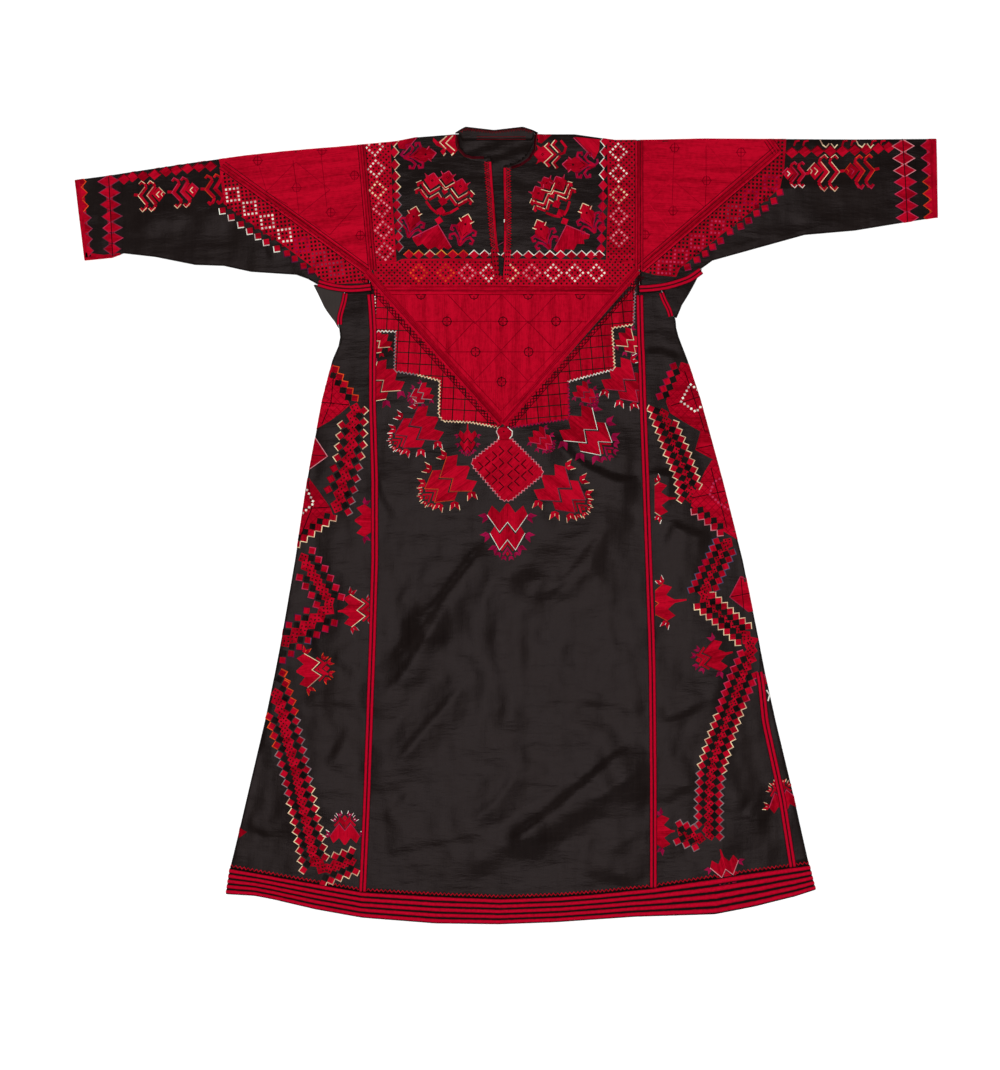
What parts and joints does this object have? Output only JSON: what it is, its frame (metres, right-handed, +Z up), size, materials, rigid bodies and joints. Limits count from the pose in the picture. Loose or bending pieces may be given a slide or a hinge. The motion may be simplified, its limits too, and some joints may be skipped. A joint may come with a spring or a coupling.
{
  "type": "embroidered long dress, thobe, laid flat",
  "caption": "Long black satin dress laid flat with its front up, with wide sleeves, a slit neck, side gores, gussets and red corded seams and hem.",
  "frame": {"origin": "on the ground, under the middle of the outline", "axes": "+X to the wearer's left, +Y to the neck, +Z up out of the front of the dress"},
  "size_m": [1.4931, 1.3839, 0.0173],
  "materials": {
    "satin": "black cotton satin with silk cross stitch",
    "gusset_cloth": "dull grey-brown cotton",
    "silk_cord": "couched red silk cords",
    "hem_cord": "rows of red silk cord on black"
  },
  "bodies": {
    "root": {"front_panel": "satin", "back_panel": "satin", "front_gore_left": "satin", "front_gore_right": "satin", "back_gore_left": "satin", "back_gore_right": "satin", "sleeve_left": "satin", "sleeve_right": "satin", "cuff_left": "satin", "cuff_right": "satin", "gusset_left": "satin", "gusset_right": "gusset_cloth", "collar_back": "satin", "neck_binding_left": "silk_cord", "neck_binding_right": "silk_cord", "seam_braid_front_left": "silk_cord", "seam_braid_front_right": "silk_cord", "seam_braid_armhole_left": "silk_cord", "seam_braid_armhole_right": "silk_cord", "seam_braid_gusset_left": "silk_cord", "seam_braid_gusset_right": "silk_cord", "seam_braid_side_left": "silk_cord", "hem_band_front": "hem_cord", "hem_band_back": "hem_cord"}
  },
  "joints": []
}
